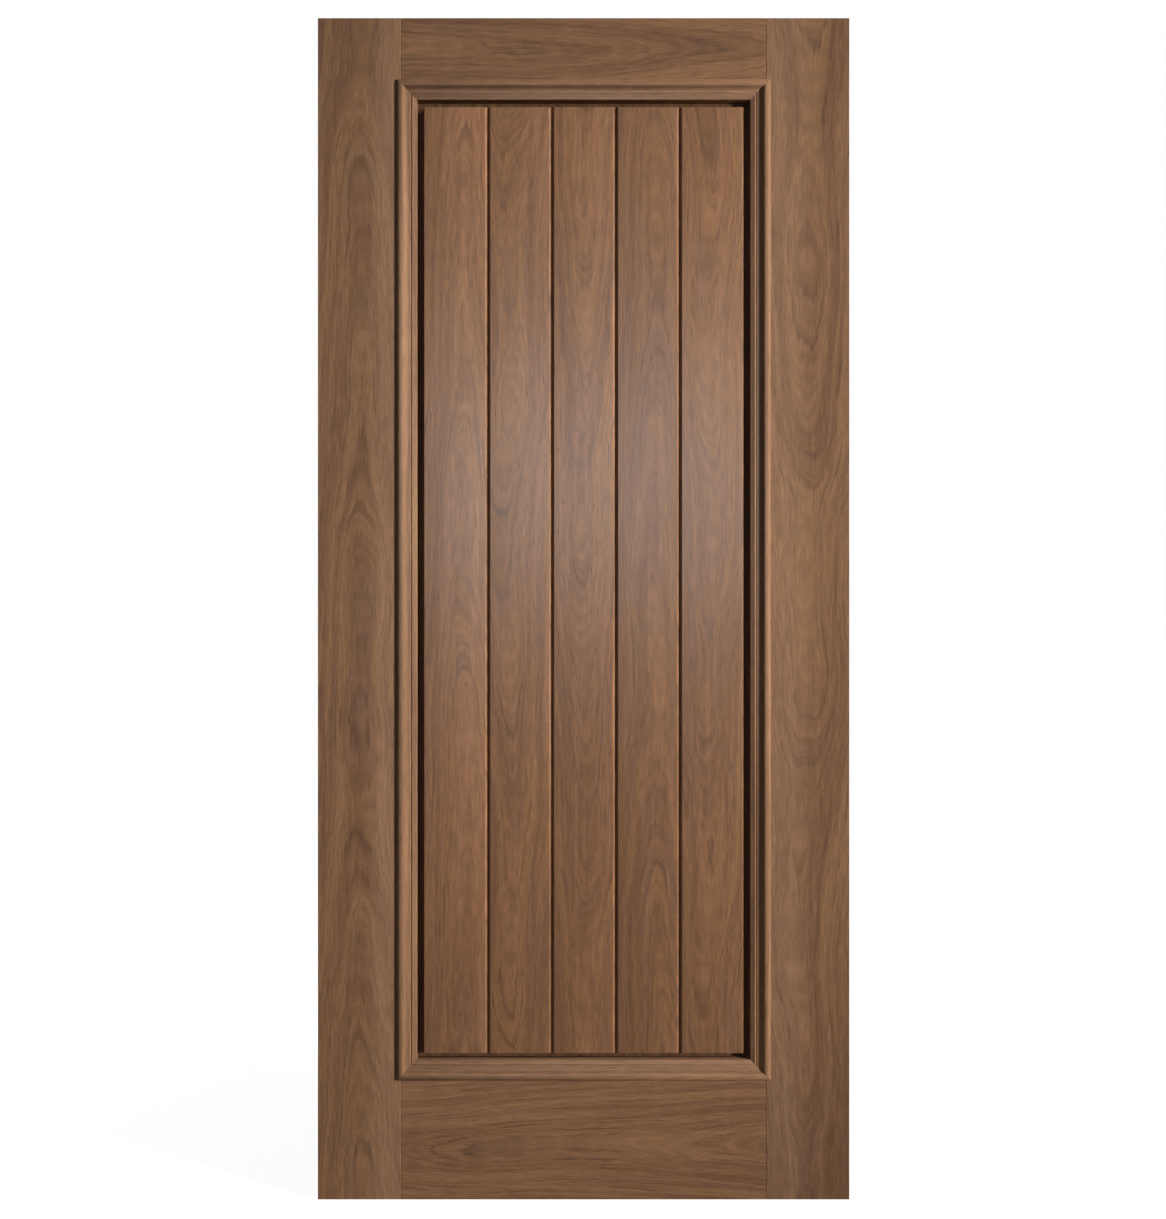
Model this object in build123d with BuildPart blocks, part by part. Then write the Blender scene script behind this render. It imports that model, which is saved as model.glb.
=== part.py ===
from build123d import *
import math
import os

os.makedirs("parts", exist_ok=True)

# Frame of the part: X across the leaf from the hinge edge, Y through it with the near face at -Y, Z up.
# All sizes are millimetres.

# Leaf
LEAF_WIDTH = 914.4
LEAF_HEIGHT = 2032.0
LEAF_THICKNESS = 44.45
ARRIS = 0.7

# Frame members
STILE_WIDTH = 142.9
TOP_RAIL_HEIGHT = 112.7
BOTTOM_RAIL_HEIGHT = 212.7

# Sheet held in the frame, with planks on both faces
CORE_THICKNESS = 6.35
CORE_HOUSING = 9.5
CORE_EDGE_ROOM = 1.0
CORE_SLACK = 0.1

# Haunched tenons
TENON_THICKNESS = 14.3
TENON_LENGTH = 76.2
HAUNCH_HEIGHT = 25.4
TENON_SPACING = 38.1
TENON_END_ROOM = 0.5
TENON_SLACK = 0.1

# Mitred moulding, with heights above the face of the frame
MOULDING_WIDTH = 35.0
MOULDING_LAP = 7.5
NOSE_WIDTH = 9.4
NOSE_HEIGHT = 6.0
NOSE_FOOT = 0.6
OGEE_WIDTH = 12.1
OGEE_CREST_RADIUS = 6.0
LEDGE_HEIGHT = 0.2
LEDGE_WIDTH = 2.4
QUIRK_WIDTH = 1.4
QUIRK_DEPTH = 0.7
BEAD_WIDTH = 3.7
BEAD_SWELL = 0.6
SLOPE_DROP = 0.05
SLOPE_FALL = 0.3
INNER_ARRIS = 0.8

# Planks
PLANK_COUNT = 5
PLANK_RECESS = 3.175
PANEL_GAP = 11.5
PANEL_FOOT_GAP = 10.3
V_JOINT_WIDTH = 8.6
PLANK_SLACK = 0.3
TONGUE_THICKNESS = 5.0
TONGUE_LENGTH = 6.0
TONGUE_SLACK = 0.15
PLANK_ARRIS = 1.0

# Lines and planes that several pieces share
HALF_LEAF = LEAF_THICKNESS / 2
HALF_CORE = CORE_THICKNESS / 2
OPENING_LEFT = STILE_WIDTH
OPENING_RIGHT = LEAF_WIDTH - STILE_WIDTH
OPENING_LOW = BOTTOM_RAIL_HEIGHT
OPENING_HIGH = LEAF_HEIGHT - TOP_RAIL_HEIGHT
PLOUGH_WIDTH = CORE_THICKNESS + 2 * CORE_SLACK
PLOUGH_DEPTH = CORE_HOUSING + CORE_EDGE_ROOM
MOULDING_DEPTH = HALF_LEAF - HALF_CORE
MOULDING_INSET = MOULDING_WIDTH - MOULDING_LAP
PANEL_INSET = MOULDING_INSET + PANEL_GAP
PANEL_LEFT = OPENING_LEFT + PANEL_INSET
PANEL_RIGHT = OPENING_RIGHT - PANEL_INSET
PANEL_LOW = OPENING_LOW + MOULDING_INSET + PANEL_FOOT_GAP
PANEL_HIGH = OPENING_HIGH - PANEL_INSET
PLANK_PITCH = (PANEL_RIGHT - PANEL_LEFT) / PLANK_COUNT
PLANK_THICKNESS = HALF_LEAF - PLANK_RECESS - HALF_CORE
V_JOINT_DEPTH = V_JOINT_WIDTH / 2

# Heights of the tenons: one on the top rail, a pair on the bottom rail, clear of the plough
top_tenon_low = OPENING_HIGH + PLOUGH_DEPTH
top_tenon_high = LEAF_HEIGHT - HAUNCH_HEIGHT
low_tenons_high = OPENING_LOW - PLOUGH_DEPTH
low_tenon_height = (low_tenons_high - HAUNCH_HEIGHT - TENON_SPACING) / 2
TOP_TENONS = [(top_tenon_low, top_tenon_high)]
BOTTOM_TENONS = [
    (HAUNCH_HEIGHT, HAUNCH_HEIGHT + low_tenon_height),
    (low_tenons_high - low_tenon_height, low_tenons_high),
]


def hand_in(piece, name):
    """Names a finished piece and writes its file."""
    piece.label = name
    export_step(piece, f"parts/{name}.step")


def make_stile(outer_x, inward):
    """A full-height stile, ploughed for the sheet and mortised for the rails."""
    inner_x = outer_x + inward * STILE_WIDTH
    with BuildPart() as stile:
        with BuildSketch(Plane.XY):
            with Locations(((outer_x + inner_x) / 2, 0)):
                Rectangle(STILE_WIDTH, LEAF_THICKNESS)
        extrude(amount=LEAF_HEIGHT)
        chamfer(stile.edges().filter_by(Axis.Z), ARRIS)
        with BuildSketch(Plane.XY):
            with Locations((inner_x - inward * PLOUGH_DEPTH / 2, 0)):
                Rectangle(PLOUGH_DEPTH, PLOUGH_WIDTH)
        extrude(amount=LEAF_HEIGHT, mode=Mode.SUBTRACT)
        mortise_depth = TENON_LENGTH + TENON_END_ROOM
        mortise_width = TENON_THICKNESS + 2 * TENON_SLACK
        for low, high in TOP_TENONS + BOTTOM_TENONS:
            with BuildSketch(Plane.XY.offset(low - TENON_SLACK)):
                with Locations((inner_x - inward * mortise_depth / 2, 0)):
                    Rectangle(mortise_depth, mortise_width)
            extrude(amount=high - low + 2 * TENON_SLACK, mode=Mode.SUBTRACT)
    return stile.part


def make_rail(low, high, plough_at, tenons):
    """A rail between the stiles, with tenons, haunches that fill the plough, and its own plough."""
    span = OPENING_RIGHT - OPENING_LEFT
    middle = LEAF_WIDTH / 2
    with BuildPart() as rail:
        with BuildSketch(Plane.XY.offset(low)):
            with Locations((middle, 0)):
                Rectangle(span, LEAF_THICKNESS)
        extrude(amount=high - low)
        faces_of_rail = rail.faces().filter_by(Axis.Y)
        chamfer(faces_of_rail.edges().filter_by(Axis.Z), ARRIS)
        with BuildSketch(Plane.XY.offset(low)):
            with Locations((middle, 0)):
                Rectangle(span + 2 * (PLOUGH_DEPTH - CORE_EDGE_ROOM), CORE_THICKNESS)
        extrude(amount=high - low)
        for tenon_low, tenon_high in tenons:
            with BuildSketch(Plane.XY.offset(tenon_low)):
                with Locations((middle, 0)):
                    Rectangle(span + 2 * TENON_LENGTH, TENON_THICKNESS)
            extrude(amount=tenon_high - tenon_low)
        plough_low = low if plough_at == low else high - PLOUGH_DEPTH
        with BuildSketch(Plane.XY.offset(plough_low)):
            with Locations((middle, 0)):
                Rectangle(span + 2 * PLOUGH_DEPTH, PLOUGH_WIDTH)
        extrude(amount=PLOUGH_DEPTH, mode=Mode.SUBTRACT)
    return rail.part


def make_core():
    """The sheet housed in the ploughs of all four frame members."""
    with BuildPart() as core:
        with BuildSketch(Plane.XY.offset(OPENING_LOW - CORE_HOUSING)):
            with Locations((LEAF_WIDTH / 2, 0)):
                Rectangle(OPENING_RIGHT - OPENING_LEFT + 2 * CORE_HOUSING, CORE_THICKNESS)
        extrude(amount=OPENING_HIGH - OPENING_LOW + 2 * CORE_HOUSING)
    return core.part


def make_moulding(start, end, inward, outward):
    """One length of moulding along the outer edge from start to end, mitred at both ends.

    The section has x across the moulding towards the panel and y out of the face of the leaf.
    """
    along = (end - start).normalized()
    section = Plane(origin=(start + end) * 0.5, x_dir=inward, z_dir=inward.cross(outward))
    length = (end - start).length
    ogee_fall = NOSE_HEIGHT - LEDGE_HEIGHT
    ogee_turn = 2 * math.atan2(ogee_fall, OGEE_WIDTH)
    turn_point = (
        NOSE_WIDTH + OGEE_CREST_RADIUS * math.sin(ogee_turn),
        NOSE_HEIGHT - OGEE_CREST_RADIUS * (1 - math.cos(ogee_turn)),
    )
    ledge_start = NOSE_WIDTH + OGEE_WIDTH
    ledge_end = ledge_start + LEDGE_WIDTH
    bead_start = ledge_end + QUIRK_WIDTH
    bead_end = bead_start + BEAD_WIDTH
    quirk_floor = LEDGE_HEIGHT - QUIRK_DEPTH
    slope_start = LEDGE_HEIGHT - SLOPE_DROP
    slope_end = slope_start - SLOPE_FALL
    with BuildPart() as moulding:
        with BuildSketch(section):
            with BuildLine():
                Line((0, 0), (0, NOSE_FOOT))
                TangentArc((NOSE_WIDTH, NOSE_HEIGHT), (0, NOSE_FOOT), tangent=(-1, 0))
                TangentArc((NOSE_WIDTH, NOSE_HEIGHT), turn_point, tangent=(1, 0))
                TangentArc((ledge_start, LEDGE_HEIGHT), turn_point, tangent=(-1, 0))
                Polyline(
                    (ledge_start, LEDGE_HEIGHT),
                    (ledge_end, LEDGE_HEIGHT),
                    (ledge_end, quirk_floor),
                    (bead_start, quirk_floor),
                )
                SagittaArc((bead_start, quirk_floor), (bead_end, slope_start), BEAD_SWELL)
                Polyline(
                    (bead_end, slope_start),
                    (MOULDING_WIDTH - INNER_ARRIS, slope_end),
                    (MOULDING_WIDTH, slope_end - INNER_ARRIS),
                    (MOULDING_WIDTH, -MOULDING_DEPTH),
                    (MOULDING_LAP, -MOULDING_DEPTH),
                    (MOULDING_LAP, 0),
                    (0, 0),
                )
            make_face()
        extrude(amount=length / 2, both=True)
        split(bisect_by=Plane(origin=end, z_dir=along + inward), keep=Keep.BOTTOM)
        split(bisect_by=Plane(origin=start, z_dir=inward - along), keep=Keep.BOTTOM)
    return moulding.part


def make_plank(number, outward):
    """One plank of a face, with a V joint, tongue and groove on each edge that meets another plank.

    The section has x across the face and y from the bed on the sheet, out of the leaf.
    """
    first = number == 1
    last = number == PLANK_COUNT
    left = PANEL_LEFT + (number - 1) * PLANK_PITCH
    right = left + PLANK_PITCH
    left_edge = left if first else left + PLANK_SLACK / 2
    right_edge = right if last else right - PLANK_SLACK / 2
    left_cut = PLANK_ARRIS if first else V_JOINT_DEPTH
    right_cut = PLANK_ARRIS if last else V_JOINT_DEPTH
    tongue_middle = (PLANK_THICKNESS - V_JOINT_DEPTH) / 2
    bed = Plane(
        origin=(0, outward * HALF_CORE, (PANEL_LOW + PANEL_HIGH) / 2),
        x_dir=(1, 0, 0),
        z_dir=(0, 0, outward),
    )
    with BuildPart() as plank:
        with BuildSketch(bed):
            with BuildLine():
                Polyline(
                    (left_edge, 0),
                    (left_edge, PLANK_THICKNESS - left_cut),
                    (left_edge + left_cut, PLANK_THICKNESS),
                    (right_edge - right_cut, PLANK_THICKNESS),
                    (right_edge, PLANK_THICKNESS - right_cut),
                    (right_edge, 0),
                    close=True,
                )
            make_face()
            if not last:
                with Locations((right_edge + TONGUE_LENGTH / 2, tongue_middle)):
                    Rectangle(TONGUE_LENGTH, TONGUE_THICKNESS)
            if not first:
                groove_depth = TONGUE_LENGTH + TONGUE_SLACK
                with Locations((left_edge + groove_depth / 2, tongue_middle)):
                    Rectangle(groove_depth, TONGUE_THICKNESS + 2 * TONGUE_SLACK, mode=Mode.SUBTRACT)
        extrude(amount=(PANEL_HIGH - PANEL_LOW) / 2, both=True)
        face_level = outward * (HALF_LEAF - PLANK_RECESS)
        face_of_plank = plank.faces().filter_by(Axis.Y).sort_by(Axis.Y)[-1 if outward > 0 else 0]
        assert abs(face_of_plank.center().Y - face_level) < 0.01
        chamfer(face_of_plank.edges().filter_by(Axis.X), PLANK_ARRIS)
    return plank.part


# Frame and sheet
hand_in(make_stile(0, 1), "left_stile")
hand_in(make_stile(LEAF_WIDTH, -1), "right_stile")
hand_in(make_rail(OPENING_HIGH, LEAF_HEIGHT, OPENING_HIGH, TOP_TENONS), "top_rail")
hand_in(make_rail(0, BOTTOM_RAIL_HEIGHT, BOTTOM_RAIL_HEIGHT, BOTTOM_TENONS), "bottom_rail")
hand_in(make_core(), "panel_core")

# Mouldings and planks of both faces
LAP_LEFT = OPENING_LEFT - MOULDING_LAP
LAP_RIGHT = OPENING_RIGHT + MOULDING_LAP
LAP_LOW = OPENING_LOW - MOULDING_LAP
LAP_HIGH = OPENING_HIGH + MOULDING_LAP
for face, side in (("front", -1), ("back", 1)):
    level = side * HALF_LEAF
    low_left = Vector(LAP_LEFT, level, LAP_LOW)
    low_right = Vector(LAP_RIGHT, level, LAP_LOW)
    high_left = Vector(LAP_LEFT, level, LAP_HIGH)
    high_right = Vector(LAP_RIGHT, level, LAP_HIGH)
    out_of_leaf = Vector(0, side, 0)
    runs = {
        "left": (low_left, high_left, Vector(1, 0, 0)),
        "right": (low_right, high_right, Vector(-1, 0, 0)),
        "top": (high_left, high_right, Vector(0, 0, -1)),
        "bottom": (low_left, low_right, Vector(0, 0, 1)),
    }
    for where, (run_start, run_end, to_panel) in runs.items():
        hand_in(make_moulding(run_start, run_end, to_panel, out_of_leaf), f"{face}_{where}_moulding")
    for count in range(1, PLANK_COUNT + 1):
        hand_in(make_plank(count, side), f"{face}_plank_{count}")
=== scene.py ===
"""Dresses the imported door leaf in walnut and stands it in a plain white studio.

The stiles, rails and sheet keep their solid shapes. The mouldings and planks are modelled here again,
with finer rounds and softened arrises, on the places that the solids give.
"""

from __future__ import annotations

import logging
import math
import random
from dataclasses import dataclass
from enum import Enum

import bpy
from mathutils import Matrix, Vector

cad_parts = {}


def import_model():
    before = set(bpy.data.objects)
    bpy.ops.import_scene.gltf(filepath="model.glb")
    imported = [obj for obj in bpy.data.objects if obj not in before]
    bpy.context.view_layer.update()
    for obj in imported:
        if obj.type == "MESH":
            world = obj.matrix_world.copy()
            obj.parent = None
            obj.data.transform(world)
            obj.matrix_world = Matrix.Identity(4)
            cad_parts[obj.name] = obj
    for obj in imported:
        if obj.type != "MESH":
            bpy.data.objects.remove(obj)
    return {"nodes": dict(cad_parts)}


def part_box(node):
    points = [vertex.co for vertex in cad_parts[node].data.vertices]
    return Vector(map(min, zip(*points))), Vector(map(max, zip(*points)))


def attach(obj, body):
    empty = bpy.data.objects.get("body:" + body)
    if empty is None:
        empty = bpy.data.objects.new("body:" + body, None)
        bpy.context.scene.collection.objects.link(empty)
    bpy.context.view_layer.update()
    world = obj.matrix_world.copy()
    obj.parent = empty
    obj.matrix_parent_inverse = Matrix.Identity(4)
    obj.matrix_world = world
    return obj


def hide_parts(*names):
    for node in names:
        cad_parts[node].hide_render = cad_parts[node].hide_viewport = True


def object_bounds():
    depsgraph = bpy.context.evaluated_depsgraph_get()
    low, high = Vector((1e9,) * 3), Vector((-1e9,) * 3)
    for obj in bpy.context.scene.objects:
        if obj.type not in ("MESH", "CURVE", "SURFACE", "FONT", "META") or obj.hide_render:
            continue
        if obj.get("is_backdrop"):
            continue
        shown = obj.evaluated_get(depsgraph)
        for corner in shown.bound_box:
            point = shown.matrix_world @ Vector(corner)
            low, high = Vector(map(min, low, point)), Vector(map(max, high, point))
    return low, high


LOG = logging.getLogger("cellar_door")
MM = 0.001
BODY = "root"
PHOTO_WIDTH = 1166
PHOTO_HEIGHT = 1219
WHITE = "#FFFFFF"
Limits = tuple[float, float]
Tree = bpy.types.NodeTree
Socket = bpy.types.NodeSocket

# Noise keeps to about a quarter either side of a half, so this many times it spans one either way.
NOISE_GAIN = 4
NOISE_MIDDLE = (0.5, 0.5, 0.5)


class Grain(Enum):
    """Which way a board's fibres run: the turn about Y that lays the pattern's long axis along them."""

    UPRIGHT = 0.0
    LEVEL = math.pi / 2


class Face(Enum):
    """A face of the leaf, and the way it looks along Y."""

    FRONT = -1
    BACK = 1

    @property
    def word(self) -> str:
        """The face's word in the names of the nodes."""
        return self.name.lower()

    @property
    def outward(self) -> Vector:
        """The direction out of this face."""
        return Vector((0, self.value, 0))


class Side(Enum):
    """A side of the panel opening, with the direction from it towards the panel."""

    LEFT = (1, 0, 0)
    RIGHT = (-1, 0, 0)
    TOP = (0, 0, -1)
    BOTTOM = (0, 0, 1)

    @property
    def word(self) -> str:
        """The side's word in the names of the nodes."""
        return self.name.lower()

    @property
    def inward(self) -> Vector:
        """The direction from this side towards the panel."""
        return Vector(self.value)

    @property
    def grain(self) -> Grain:
        """The way the fibres run in a length of moulding on this side."""
        return Grain.UPRIGHT if self.value[0] else Grain.LEVEL


def linear(hex_colour: str) -> tuple[float, float, float, float]:
    """Turns an sRGB hex colour to linear light, by the numbers of the sRGB standard.

    Args:
        hex_colour: six hex digits after a hash sign.

    Returns:
        Red, green, blue and an alpha of 1.
    """
    channels = [int(hex_colour[i : i + 2], 16) / 255 for i in (1, 3, 5)]
    light = [c / 12.92 if c <= 0.04045 else ((c + 0.055) / 1.055) ** 2.4 for c in channels]
    return (*light, 1.0)


def add_node(tree: Tree, kind: str, inputs: dict | None = None, **settings: str) -> bpy.types.Node:
    """Adds a node with its settings and links.

    Args:
        tree: the node tree that it joins.
        kind: the node's type name, without the word that all shader nodes share.
        inputs: values or output sockets, by the name or number of the input.
        settings: its properties, by name.

    Returns:
        The new node.
    """
    node = tree.nodes.new(f"ShaderNode{kind}")
    for name, value in settings.items():
        setattr(node, name, value)
    for name, value in (inputs or {}).items():
        if isinstance(value, Socket):
            tree.links.new(value, node.inputs[name])
        else:
            node.inputs[name].default_value = value
    return node


@dataclass(frozen=True)
class Lacquer:
    """A clear finish over wood: how matt it was rubbed and how strongly it shines."""

    words: str
    roughness: float
    shine: float
    ior: float = 1.5


# Satin lacquer gives a broad soft sheen. Rubbing scatters it, matt lacquer nearly hides it, and a thin
# sealer leaves the bare look of the wood.
SATIN = Lacquer("satin lacquer", roughness=0.48, shine=0.16)
RUBBED = Lacquer("rubbed satin lacquer", roughness=0.5, shine=0.08)
MATT = Lacquer("matt lacquer", roughness=0.66, shine=0.05)
SEALER = Lacquer("thin sealer", roughness=0.8, shine=0.03)


@dataclass(frozen=True)
class Figure:
    """How one board lay in its log. Lengths are millimetres.

    The pith's place is counted from the middle of the board. A board that tapers against the log shows
    its rings as arches, and a log that sways shows them as closed loops. Boards from other places along
    the log share no pattern. Towards one edge a board may turn to paler sapwood, between two lines that
    are also counted from its middle.
    """

    pith_across: float = 0.0
    pith_depth: float = 30.0
    along: float = 0.0
    taper: float = 0.03
    ring: float = 6.5
    sway: float = 9.0
    shade: float = 1.0
    sap_from: float = 0.0
    sap_to: float = 0.0
    sap_share: float = 0.0


@dataclass(frozen=True)
class Walnut:
    """Black walnut, planed and lacquered.

    Planing leaves fine fibres and short open pores along the grain, and the growth rings end in thin
    dark lines that arch where the saw cut across them. Bands, dusky streaks and fine strands follow the
    rings and fade along them, and warm patches follow the grain. The fibres and pores are drawn several
    times too coarse, so that they show at the size of the whole leaf.

    Lengths are millimetres, and limits are the values of a pattern that become nothing and all of it.
    Late wood starts and peaks at shares of a year, and the bands shift the years by less than one. It is
    strong in runs of good years, counted in rings, and a poor share of that between them.
    """

    pale: str = "#876345"
    brown: str = "#74523A"
    warm: str = "#886246"
    dusky: str = "#644B3F"
    late_wood: str = "#4C3426"
    pore: str = "#37241A"
    sap: str = "#BD9677"
    sway_along: float = 460.0
    wobble: float = 3.2
    wobble_across: float = 40.0
    wobble_along: float = 320.0
    feather: float = 0.8
    band: float = 12.0
    band_along: float = 620.0
    band_limits: Limits = (0.3, 0.7)
    streak: float = 5.0
    streak_along: float = 480.0
    streak_limits: Limits = (0.46, 0.78)
    streak_depth: float = 0.32
    strand_across: float = 1.8
    strand_along: float = 36.0
    strand_limits: Limits = (0.2, 0.8)
    strand_depth: float = 0.13
    warm_across: float = 9.0
    warm_along: float = 300.0
    warm_limits: Limits = (0.4, 0.7)
    warm_depth: float = 0.4
    fibre_across: float = 1.9
    fibre_along: float = 30.0
    fibre_limits: Limits = (0.25, 0.75)
    fibre_depth: float = 0.135
    pore_across: float = 5.5
    pore_along: float = 40.0
    pore_edge: Limits = (0.06, 0.2)
    pore_limits: Limits = (0.4, 0.8)
    pore_depth: float = 0.42
    pore_matt: float = 0.15
    late_start: float = 0.6
    late_peak: float = 0.88
    late_along: float = 120.0
    late_depth: float = 0.52
    band_years: float = 0.7
    good_run: float = 1.6
    good_limits: Limits = (0.38, 0.72)
    poor_share: float = 0.1
    end_limits: Limits = (0.6, 0.95)
    end_grain: float = 0.62
    bump_mm: float = 0.1
    bump_strength: float = 0.35
    detail: float = 1.5
    wobble_detail: float = 1.0
    patch_roughness: float = 0.55
    streak_roughness: float = 0.5
    sway_roughness: float = 0.4

    def material(
        self, name: str, middle: Vector, grain: Grain, figure: Figure, lacquer: Lacquer
    ) -> bpy.types.Material:
        """Makes the material of one board.

        Args:
            name: the board's name.
            middle: the middle of the board.
            grain: the way its fibres run.
            figure: how it lay in its log.
            lacquer: the finish over it.

        Returns:
            The material, patterned in the board's own place.
        """
        material = bpy.data.materials.new(f"black walnut, {lacquer.words}, {name}")
        material.use_nodes = True
        tree = material.node_tree
        tree.nodes.clear()
        place = add_node(tree, "TexCoord")
        log = add_node(
            tree,
            "Mapping",
            {
                "Vector": place.outputs["Object"],
                "Location": self.pith_point(middle, grain, figure),
                "Rotation": (0, grain.value, 0),
                "Scale": (MM, MM, MM),
            },
            vector_type="TEXTURE",
        ).outputs["Vector"]
        fibre = self.noise(tree, log, self.fibre_across, self.fibre_along, self.detail)
        growth = self.growth(tree, log, fibre, figure)
        pores = self.pores(tree, log)
        colour = self.colour(tree, log, growth, figure)
        if figure.sap_share:
            colour = self.sap_side(tree, colour, log, figure)
        strands = self.streaks(
            tree, growth, self.strand_across, self.strand_along, self.strand_limits
        )
        colour = self.fibred(tree, colour, fibre, strands, pores, figure.shade)
        colour = self.darker_ends(tree, colour, place, grain)
        self.surface(tree, colour, fibre, pores, lacquer)
        return material

    @staticmethod
    def pith_point(middle: Vector, grain: Grain, figure: Figure) -> Vector:
        """The point of the pith that the board's pattern is counted from.

        Args:
            middle: the middle of the board.
            grain: the way its fibres run.
            figure: how it lay in its log.

        Returns:
            The point, in metres.
        """
        across = figure.pith_across * MM
        along = figure.along * MM
        depth = figure.pith_depth * MM
        if grain is Grain.UPRIGHT:
            return middle + Vector((across, depth, along))
        return middle + Vector((along, depth, across))

    def noise(self, tree: Tree, log: Socket, across: float, along: float, detail: float) -> Socket:
        """Noise drawn out along the grain.

        Args:
            tree: the material's nodes.
            log: the place in the log, in millimetres.
            across: the size of a patch across the grain.
            along: its size along the grain.
            detail: how many finer layers are added.

        Returns:
            A value about one half.
        """
        stretched = add_node(
            tree, "VectorMath", {0: log, 1: (across, across, along)}, operation="DIVIDE"
        ).outputs[0]
        return add_node(
            tree,
            "TexNoise",
            {"Vector": stretched, "Scale": 1.0, "Detail": detail, "Roughness": self.patch_roughness},
        ).outputs["Fac"]

    def streaks(
        self, tree: Tree, growth: Socket, across: float, along: float, limits: Limits
    ) -> Socket:
        """Uneven streaks that follow the growth rings and fade along the grain.

        Args:
            tree: the material's nodes.
            growth: the distance that the rings follow and the height in the log, in millimetres.
            across: the width of a streak, in millimetres.
            along: its length along the grain, in millimetres.
            limits: the noise values that become 0 and 1.

        Returns:
            A value from 0 to 1.
        """
        stretched = add_node(
            tree, "VectorMath", {0: growth, 1: (across, along, 1)}, operation="DIVIDE"
        ).outputs[0]
        noise = add_node(
            tree,
            "TexNoise",
            {
                "Vector": stretched,
                "Scale": 1.0,
                "Detail": self.detail,
                "Roughness": self.streak_roughness,
            },
            noise_dimensions="2D",
        ).outputs["Fac"]
        return add_node(
            tree,
            "MapRange",
            {"Value": noise, "From Min": limits[0], "From Max": limits[1]},
            interpolation_type="SMOOTHSTEP",
        ).outputs["Result"]

    def growth(self, tree: Tree, log: Socket, fibre: Socket, figure: Figure) -> Socket:
        """The distance from the pith of a log that tapers, sways and grew unevenly.

        Args:
            tree: the material's nodes.
            log: the place in the log, in millimetres.
            fibre: the fibres, which feather the rings.
            figure: how the board lay in its log.

        Returns:
            The distance that the growth rings follow, the height in the log, and 0, in millimetres.
        """
        height = add_node(tree, "SeparateXYZ", {0: log}).outputs["Z"]
        turns = add_node(tree, "Math", {0: height, 1: self.sway_along}, operation="DIVIDE").outputs[0]
        sway = add_node(
            tree,
            "TexNoise",
            {"W": turns, "Scale": 1.0, "Detail": self.detail, "Roughness": self.sway_roughness},
            noise_dimensions="1D",
        ).outputs["Color"]
        centred = add_node(
            tree, "VectorMath", {0: sway, 1: NOISE_MIDDLE}, operation="SUBTRACT"
        ).outputs[0]
        swing = NOISE_GAIN * figure.sway
        swayed = add_node(
            tree, "VectorMath", {0: centred, 1: (swing, swing, 0), 2: log}, operation="MULTIPLY_ADD"
        ).outputs[0]
        flat = add_node(tree, "VectorMath", {0: swayed, 1: (1, 1, 0)}, operation="MULTIPLY").outputs[0]
        distance = add_node(tree, "VectorMath", {0: flat}, operation="LENGTH").outputs["Value"]
        wobble = self.noise(
            tree, log, self.wobble_across, self.wobble_along, self.wobble_detail
        )
        for source, reach in (
            (height, figure.taper),
            (wobble, NOISE_GAIN * self.wobble),
            (fibre, NOISE_GAIN * self.feather),
        ):
            distance = add_node(
                tree, "Math", {0: source, 1: reach, 2: distance}, operation="MULTIPLY_ADD"
            ).outputs[0]
        return add_node(tree, "CombineXYZ", {"X": distance, "Y": height}).outputs[0]

    def pores(self, tree: Tree, log: Socket) -> Socket:
        """Short dark open pores along the grain.

        Args:
            tree: the material's nodes.
            log: the place in the log, in millimetres.

        Returns:
            1 inside a pore and 0 outside.
        """
        stretched = add_node(
            tree,
            "VectorMath",
            {0: log, 1: (self.pore_across, self.pore_across, self.pore_along)},
            operation="DIVIDE",
        ).outputs[0]
        cells = add_node(tree, "TexVoronoi", {"Vector": stretched, "Scale": 1.0, "Randomness": 1.0})
        inside = add_node(
            tree,
            "MapRange",
            {
                "Value": cells.outputs["Distance"],
                "From Min": self.pore_edge[0],
                "From Max": self.pore_edge[1],
                "To Min": 1.0,
                "To Max": 0.0,
            },
            interpolation_type="SMOOTHSTEP",
        ).outputs["Result"]
        open_pores = add_node(
            tree,
            "MapRange",
            {
                "Value": cells.outputs["Color"],
                "From Min": self.pore_limits[0],
                "From Max": self.pore_limits[1],
            },
        ).outputs["Result"]
        return add_node(tree, "Math", {0: inside, 1: open_pores}, operation="MULTIPLY").outputs[0]

    def colour(self, tree: Tree, log: Socket, growth: Socket, figure: Figure) -> Socket:
        """Bands, warm patches, dusky streaks and late-wood lines.

        Args:
            tree: the material's nodes.
            log: the place in the log.
            growth: the distance that the growth rings follow and the height in the log.
            figure: how the board lay in its log.

        Returns:
            The wood's colour before fibres and pores.
        """
        bands = self.streaks(tree, growth, self.band, self.band_along, self.band_limits)
        wood = add_node(
            tree,
            "Mix",
            {"Factor": bands, "A": linear(self.pale), "B": linear(self.brown)},
            data_type="RGBA",
        ).outputs["Result"]
        patches = self.noise(tree, log, self.warm_across, self.warm_along, self.detail)
        streaks = self.streaks(tree, growth, self.streak, self.streak_along, self.streak_limits)
        streaks = add_node(
            tree, "Math", {0: streaks, 1: self.streak_depth}, operation="MULTIPLY"
        ).outputs[0]
        warm = add_node(
            tree,
            "MapRange",
            {
                "Value": patches,
                "From Min": self.warm_limits[0],
                "From Max": self.warm_limits[1],
                "To Max": self.warm_depth,
            },
            interpolation_type="SMOOTHSTEP",
        ).outputs["Result"]
        late = self.late_lines(tree, growth, bands, figure)
        for share, tint in (
            (warm, self.warm),
            (streaks, self.dusky),
            (late, self.late_wood),
        ):
            wood = add_node(
                tree, "Mix", {"Factor": share, "A": wood, "B": linear(tint)}, data_type="RGBA"
            ).outputs["Result"]
        return wood

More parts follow.
